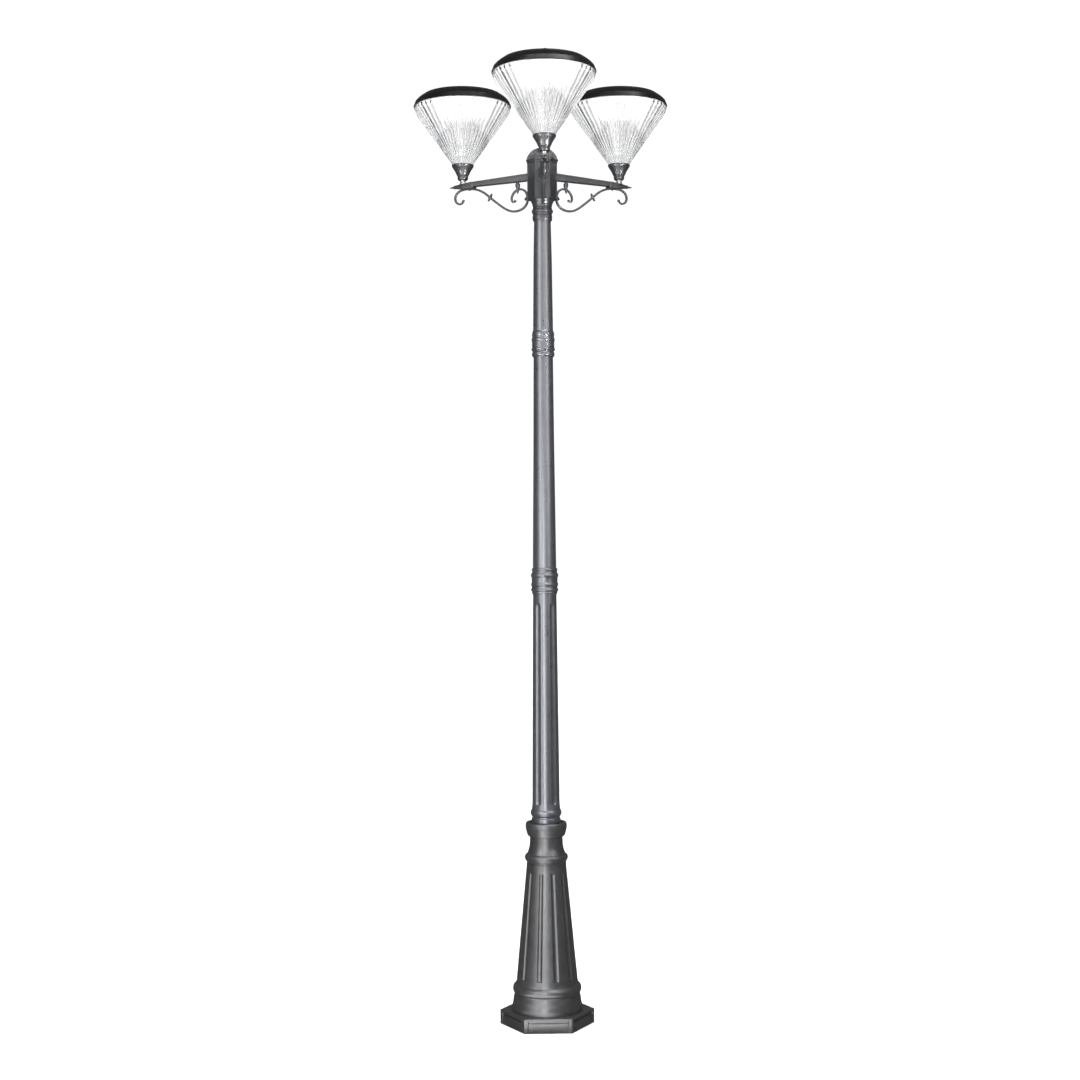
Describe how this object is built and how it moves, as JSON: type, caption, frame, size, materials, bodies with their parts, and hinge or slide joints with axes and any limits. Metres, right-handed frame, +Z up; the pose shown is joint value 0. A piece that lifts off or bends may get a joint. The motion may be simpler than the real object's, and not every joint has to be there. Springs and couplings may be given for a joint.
{
  "type": "triple head lamp post",
  "caption": "Outdoor lamp post: hexagonal foot, fluted pedestal, jointed tapering pole and a hub whose scrolled arms carry solar lamp heads with clear ribbed cones.",
  "frame": {"origin": "on the ground at the post's axis, the centre of the anchor hole circle on the foot's underside", "axes": "+Z up along the post, -Y along the front arm, the other two arms at the back left (-X) and back right (+X), 120 degrees apart"},
  "size_m": [0.8938, 0.82, 3.2335],
  "materials": {
    "powder_coat": "satin charcoal powder coat on castings and tubes",
    "steel_sleeve": "zinc plated steel tube",
    "blackened_steel": "black coated screws",
    "plain_steel": "bright zinc plated",
    "clear_diffuser": "clear ribbed moulding",
    "gasket_rubber": "matt black rubber",
    "cap_black": "satin black moulding",
    "solar_glass": "laminated cell panel under clear glass",
    "reflector_white": "white satin moulding",
    "led_board": "white solder resist with yellow chips",
    "battery_wrap": "shrink wrapped cells",
    "circuit_board": "green circuit board",
    "button_rubber": "moulded silicone rubber"
  },
  "bodies": {
    "post": {"arm_bolts": "blackened_steel", "arm_front": "powder_coat", "arm_left": "powder_coat", "arm_right": "powder_coat", "base_foot": "powder_coat", "battery_front": "battery_wrap", "battery_left": "battery_wrap", "battery_right": "battery_wrap", "cap_front": "cap_black", "cap_left": "cap_black", "cap_right": "cap_black", "cap_screws": "plain_steel", "controller_front": "circuit_board", "controller_left": "circuit_board", "controller_right": "circuit_board", "cup_set_screws": "blackened_steel", "diffuser_front": "clear_diffuser", "diffuser_gaskets": "gasket_rubber", "diffuser_left": "clear_diffuser", "diffuser_right": "clear_diffuser", "dome_screw": "blackened_steel", "head_locknuts": "plain_steel", "head_studs": "plain_steel", "holder_front": "powder_coat", "holder_left": "powder_coat", "holder_right": "powder_coat", "holder_screws": "plain_steel", "hub_body": "powder_coat", "hub_dome": "powder_coat", "hub_set_screws": "blackened_steel", "hub_sleeve": "steel_sleeve", "led_board_front": "led_board", "led_board_left": "led_board", "led_board_right": "led_board", "lower_joint_collar": "powder_coat", "lower_joint_screws": "blackened_steel", "lower_joint_sleeve": "steel_sleeve", "lower_pole": "powder_coat", "middle_pole": "powder_coat", "neck_collar": "powder_coat", "pedestal": "powder_coat", "pedestal_cup": "powder_coat", "pedestal_set_screws": "blackened_steel", "reflector_front": "reflector_white", "reflector_left": "reflector_white", "reflector_right": "reflector_white", "scroll_front": "powder_coat", "scroll_left": "powder_coat", "scroll_right": "powder_coat", "scroll_screws": "blackened_steel", "solar_panel_front": "solar_glass", "solar_panel_left": "solar_glass", "solar_panel_right": "solar_glass", "upper_joint_collar": "powder_coat", "upper_joint_screws": "blackened_steel", "upper_joint_sleeve": "steel_sleeve", "upper_pole": "powder_coat"},
    "button_front": {"power_button_front": "button_rubber"},
    "button_right": {"power_button_right": "button_rubber"},
    "button_left": {"power_button_left": "button_rubber"}
  },
  "joints": [
    {"name": "button_press_front", "type": "slide", "parent": "post", "child": "button_front", "axis": [0, 0, -1], "range_m": [0, 0.0025], "stiffness_N_per_m": 400, "springref_m": -0.002},
    {"name": "button_press_right", "type": "slide", "parent": "post", "child": "button_right", "axis": [0, 0, -1], "range_m": [0, 0.0025], "stiffness_N_per_m": 400, "springref_m": -0.002},
    {"name": "button_press_left", "type": "slide", "parent": "post", "child": "button_left", "axis": [0, 0, -1], "range_m": [0, 0.0025], "stiffness_N_per_m": 400, "springref_m": -0.002}
  ]
}
